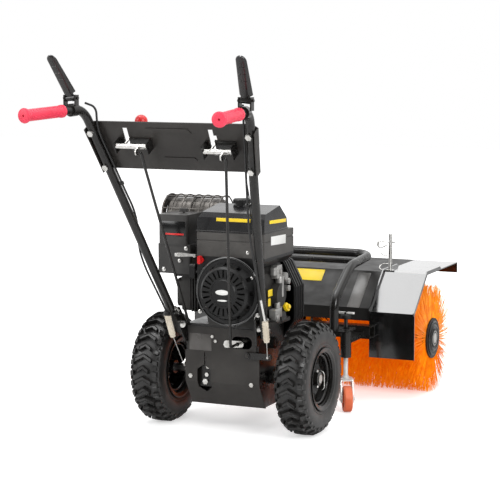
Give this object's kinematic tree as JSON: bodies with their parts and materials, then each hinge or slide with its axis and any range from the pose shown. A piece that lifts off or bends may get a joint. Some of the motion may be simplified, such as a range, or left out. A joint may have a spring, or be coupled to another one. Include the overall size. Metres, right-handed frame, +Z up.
{
  "type": "walk behind sweeper",
  "caption": "Two wheeled petrol sweeper with splayed handlebars, a front hooded roller brush on a swivelling head, caster wheels and clutch levers.",
  "frame": {"origin": "on the ground, at the middle of the machine's length and width", "axes": "+X to the operator's right, +Y forward towards the brush, +Z up"},
  "size_m": [0.77, 1.6516, 1.1017],
  "materials": {
    "frame_black": "gloss powder coat",
    "cover_grey": "satin",
    "hood_black": "high gloss",
    "zinc": "zinc plated",
    "steel": "machined",
    "casting": "die cast",
    "grip": "knurled",
    "black_plastic": "textured",
    "engine_grey": "satin",
    "tank_grey": "satin",
    "cleaner_grey": "textured",
    "muffler_steel": "heat dulled",
    "tyre": "rubber",
    "rim": "satin",
    "bristle": "matte filament",
    "brush_black": "satin",
    "cable": "smooth",
    "yellow": "gloss",
    "red": "gloss"
  },
  "bodies": {
    "chassis": {"chassis_housing": "frame_black", "rear_cover": "cover_grey", "chassis_bolts": "zinc", "handle_tube_left": "frame_black", "handle_tube_right": "frame_black", "grip_left": "grip", "grip_right": "grip", "dash_panel": "cover_grey", "control_brackets": "zinc", "engine_block": "casting", "blower_housing": "engine_grey", "recoil_cover": "black_plastic", "fuel_tank": "tank_grey", "air_cleaner": "cleaner_grey", "muffler": "muffler_steel", "muffler_guard": "zinc", "belt_cover": "black_plastic", "swivel_fork": "frame_black", "control_cables": "cable"},
    "axle": {"axle_shaft": "steel", "rim_left": "rim", "rim_right": "rim", "tyre_left": "tyre", "tyre_right": "tyre", "click_pins": "zinc"},
    "transmission": {"drive_shaft": "steel"},
    "crank": {"flywheel": "casting"},
    "head": {"head_gearbox": "frame_black", "hood_centre": "hood_black", "hood_left": "hood_black", "hood_right": "hood_black", "guard_tube": "frame_black", "head_frame": "frame_black", "r_clips": "zinc"},
    "brush": {"brush_core": "brush_black", "brush_bristles": "bristle"},
    "caster_height_right": {"caster_slider_right": "zinc"},
    "caster_crank_right": {"caster_crank_right": "zinc"},
    "caster_fork_right": {"caster_fork_right": "zinc"},
    "caster_wheel_right": {"caster_wheel_right": "tyre"},
    "caster_height_left": {"caster_slider_left": "zinc"},
    "caster_crank_left": {"caster_crank_left": "zinc"},
    "caster_fork_left": {"caster_fork_left": "zinc"},
    "caster_wheel_left": {"caster_wheel_left": "tyre"},
    "clutch_lever_right": {"clutch_lever_right": "black_plastic"},
    "cable_wire_right": {"cable_wire_right": "steel"},
    "clutch_arm_right": {"clutch_arm_right": "zinc"},
    "clutch_lever_left": {"clutch_lever_left": "black_plastic"},
    "cable_wire_left": {"cable_wire_left": "steel"},
    "clutch_arm_left": {"clutch_arm_left": "zinc"},
    "shift_lever_left": {"shift_lever_left": "zinc"},
    "shift_rod_left": {"shift_rod_left": "zinc"},
    "shift_lever_right": {"shift_lever_right": "zinc"},
    "shift_rod_right": {"shift_rod_right": "zinc"},
    "shift_arm_right": {"shift_arm_right": "zinc"},
    "recoil_handle": {"recoil_handle": "black_plastic"},
    "choke": {"choke_lever": "steel"},
    "engine_switch": {"engine_switch": "red"},
    "fuel_cap": {"fuel_cap": "black_plastic"},
    "oil_cap": {"oil_cap": "yellow"}
  },
  "joints": [
    {"name": "wheel_axle_spin", "type": "hinge", "parent": "chassis", "child": "axle", "pos_m": [0, -0.11819, 0.165], "axis": [1, 0, 0], "continuous": true},
    {"name": "transmission_spin", "type": "hinge", "parent": "chassis", "child": "transmission", "pos_m": [0, -0.11819, 0.2615], "axis": [1, 0, 0], "continuous": true},
    {"name": "crank_spin", "type": "hinge", "parent": "chassis", "child": "crank", "pos_m": [0.045, -0.11819, 0.428], "axis": [0, 1, 0], "continuous": true},
    {"name": "head_swivel", "type": "hinge", "parent": "chassis", "child": "head", "pos_m": [0, 0.08681, 0.2], "axis": [0, 0, 1], "range_deg": [-15, 15]},
    {"name": "brush_spin", "type": "hinge", "parent": "head", "child": "brush", "pos_m": [0, 0.58681, 0.177], "axis": [1, 0, 0], "continuous": true},
    {"name": "caster_height_slide_right", "type": "slide", "parent": "head", "child": "caster_height_right", "axis": [0, 0, 1], "range_m": [-0.03, 0]},
    {"name": "caster_crank_turn_right", "type": "hinge", "parent": "caster_height_right", "child": "caster_crank_right", "pos_m": [0.211, 0.23181, 0.2843], "axis": [0, 0, 1], "continuous": true},
    {"name": "caster_swivel_right", "type": "hinge", "parent": "caster_height_right", "child": "caster_fork_right", "pos_m": [0.211, 0.23181, 0.1], "axis": [0, 0, 1], "continuous": true},
    {"name": "caster_wheel_spin_right", "type": "hinge", "parent": "caster_fork_right", "child": "caster_wheel_right", "pos_m": [0.229, 0.19879, 0.04], "axis": [0.878, 0.4787, 0], "continuous": true},
    {"name": "caster_height_slide_left", "type": "slide", "parent": "head", "child": "caster_height_left", "axis": [0, 0, 1], "range_m": [-0.03, 0]},
    {"name": "caster_crank_turn_left", "type": "hinge", "parent": "caster_height_left", "child": "caster_crank_left", "pos_m": [-0.211, 0.23181, 0.2843], "axis": [0, 0, 1], "continuous": true},
    {"name": "caster_swivel_left", "type": "hinge", "parent": "caster_height_left", "child": "caster_fork_left", "pos_m": [-0.211, 0.23181, 0.1], "axis": [0, 0, 1], "continuous": true},
    {"name": "caster_wheel_spin_left", "type": "hinge", "parent": "caster_fork_left", "child": "caster_wheel_left", "pos_m": [-0.229, 0.19879, 0.04], "axis": [0.878, -0.4787, 0], "continuous": true},
    {"name": "clutch_lever_squeeze_right", "type": "hinge", "parent": "chassis", "child": "clutch_lever_right", "pos_m": [0.258, -0.61519, 0.984], "axis": [1, 0, 0], "range_deg": [0, 48], "stiffness_Nm_per_rad": 2.5, "springref_deg": -17.19},
    {"name": "cable_pull_right", "type": "slide", "parent": "chassis", "child": "cable_wire_right", "axis": [0.0469, -0.2971, 0.9537], "range_m": [0, 0.01122]},
    {"name": "clutch_lever_squeeze_left", "type": "hinge", "parent": "chassis", "child": "clutch_lever_left", "pos_m": [-0.258, -0.61519, 0.984], "axis": [1, 0, 0], "range_deg": [0, 48], "stiffness_Nm_per_rad": 2.5, "springref_deg": -17.19},
    {"name": "cable_pull_left", "type": "slide", "parent": "chassis", "child": "cable_wire_left", "axis": [0, -0.4561, 0.8899], "range_m": [0, 0.01122]},
    {"name": "clutch_arm_lift_right", "type": "hinge", "parent": "chassis", "child": "clutch_arm_right", "pos_m": [0.084, -0.21819, 0.238], "axis": [0, -1, 0], "range_deg": [0, 9.29]},
    {"name": "clutch_arm_lift_left", "type": "hinge", "parent": "chassis", "child": "clutch_arm_left", "pos_m": [-0.115, -0.16419, 0.219], "axis": [-1, 0, 0], "range_deg": [0, 14.62]},
    {"name": "shift_lever_turn_left", "type": "hinge", "parent": "chassis", "child": "shift_lever_left", "pos_m": [-0.144, -0.5319, 0.85286], "axis": [1, 0, 0], "range_deg": [-14, 14]},
    {"name": "shift_rod_slide_left", "type": "slide", "parent": "chassis", "child": "shift_rod_left", "axis": [-0.0405, 0.542, -0.8394], "range_m": [-0.00487, 0.00487]},
    {"name": "shift_lever_turn_right", "type": "hinge", "parent": "chassis", "child": "shift_lever_right", "pos_m": [0.113, -0.52709, 0.84386], "axis": [1, 0, 0], "range_deg": [-14, 14]},
    {"name": "shift_rod_slide_right", "type": "slide", "parent": "chassis", "child": "shift_rod_right", "axis": [-0.18, 0.4279, -0.8857], "range_m": [-0.00463, 0.00463]},
    {"name": "shift_arm_turn_right", "type": "hinge", "parent": "chassis", "child": "shift_arm_right", "pos_m": [0.02, -0.21819, 0.267], "axis": [0, 1, 0], "range_deg": [-7.34, 7.34]},
    {"name": "recoil_pull", "type": "slide", "parent": "chassis", "child": "recoil_handle", "axis": [-1, 0, 0], "range_m": [0, 0.4], "stiffness_N_per_m": 15, "springref_m": -0.3},
    {"name": "choke_turn", "type": "hinge", "parent": "chassis", "child": "choke", "pos_m": [-0.146, -0.20819, 0.517], "axis": [0, 1, 0], "range_deg": [0, 30]},
    {"name": "engine_switch_turn", "type": "hinge", "parent": "chassis", "child": "engine_switch", "pos_m": [-0.048, -0.25319, 0.512], "axis": [0, 1, 0], "range_deg": [0, 60]},
    {"name": "fuel_cap_turn", "type": "hinge", "parent": "chassis", "child": "fuel_cap", "pos_m": [0.033, -0.14819, 0.667], "axis": [0, 0, 1], "range_deg": [0, 90]},
    {"name": "oil_cap_turn", "type": "hinge", "parent": "chassis", "child": "oil_cap", "pos_m": [0.112, -0.06619, 0.35], "axis": [0.9404, 0, 0.3401], "range_deg": [0, 360]}
  ],
  "couplings": [
    {"joint": "transmission_spin", "follows": "wheel_axle_spin", "ratio": -3},
    {"joint": "cable_pull_right", "follows": "clutch_lever_squeeze_right", "m_per_rad": 0.01313},
    {"joint": "cable_pull_left", "follows": "clutch_lever_squeeze_left", "m_per_rad": 0.01313},
    {"joint": "clutch_arm_lift_right", "follows": "clutch_lever_squeeze_right", "ratio": 0.18973},
    {"joint": "clutch_arm_lift_left", "follows": "clutch_lever_squeeze_left", "ratio": 0.29864},
    {"joint": "shift_rod_slide_left", "follows": "shift_lever_turn_left", "m_per_rad": 0.019533},
    {"joint": "shift_rod_slide_right", "follows": "shift_lever_turn_right", "m_per_rad": 0.018575},
    {"joint": "shift_arm_turn_right", "follows": "shift_lever_turn_right", "ratio": 0.51413}
  ]
}
